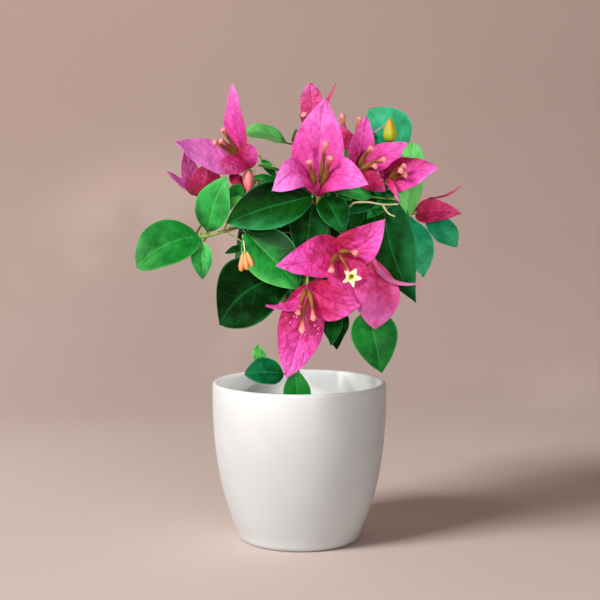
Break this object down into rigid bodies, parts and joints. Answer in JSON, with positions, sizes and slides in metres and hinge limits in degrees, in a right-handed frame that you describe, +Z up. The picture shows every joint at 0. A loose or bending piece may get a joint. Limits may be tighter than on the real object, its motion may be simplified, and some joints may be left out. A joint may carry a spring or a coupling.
{
  "type": "potted bougainvillea bush",
  "caption": "Small bougainvillea bush with papery magenta bracts over dark green leaves, on a woody stem in a plain round pot.",
  "frame": {"origin": "centre of the pot's flat underside, on the surface it stands on", "axes": "+Z up along the stem, -Y towards the fullest side of the crown, +X to the right of someone who looks at that side"},
  "size_m": [0.2171, 0.1877, 0.3157],
  "materials": {
    "pot": "satin",
    "potting_soil": "matte",
    "bark": "matte",
    "bracts": "satin",
    "leaves": "satin",
    "inner_leaves": "satin"
  },
  "bodies": {
    "root": {"pot": "pot", "soil": "potting_soil", "stem": "bark", "heart_left": "inner_leaves", "heart_front": "inner_leaves", "heart_right": "inner_leaves", "heart_top": "inner_leaves", "heart_low": "inner_leaves", "heart_back": "inner_leaves", "bough_left": "bark", "bough_front": "bark", "bough_right": "bark", "bough_top": "bark", "bough_low": "bark", "bough_back": "bark", "shoot_left": "bark", "shoot_top_left": "bark", "shoot_low_pot": "bark", "head_top_left": "bracts", "head_low_left": "bracts", "head_crest": "bracts", "head_front_high": "bracts", "head_shoulder": "bracts", "head_right_front": "bracts", "head_right_side": "bracts", "head_far_right": "bracts", "head_front_middle": "bracts", "head_front_side": "bracts", "head_front_low": "bracts", "spray_left_tip": "leaves", "spray_left_upper": "leaves", "spray_left_lower": "leaves", "spray_upper_left": "leaves", "spray_upper_right": "leaves", "spray_right_back": "leaves", "spray_right_hanging": "leaves", "spray_right_tip": "leaves", "spray_right_long": "leaves", "spray_centre_left": "leaves", "spray_centre_low": "leaves", "spray_centre_right": "leaves", "spray_centre_high": "leaves", "spray_low_left": "leaves", "spray_middle_left": "leaves", "spray_low_right": "leaves", "spray_low_middle": "leaves", "spray_pot_left": "leaves", "spray_pot_front": "leaves", "spray_pot_shoot": "leaves", "head_back_1": "bracts", "spray_back_2": "leaves", "head_back_3": "bracts", "spray_back_4": "leaves", "head_back_5": "bracts", "spray_back_6": "leaves", "head_back_7": "bracts", "spray_back_8": "leaves", "head_back_9": "bracts", "spray_back_10": "leaves"}
  },
  "joints": []
}
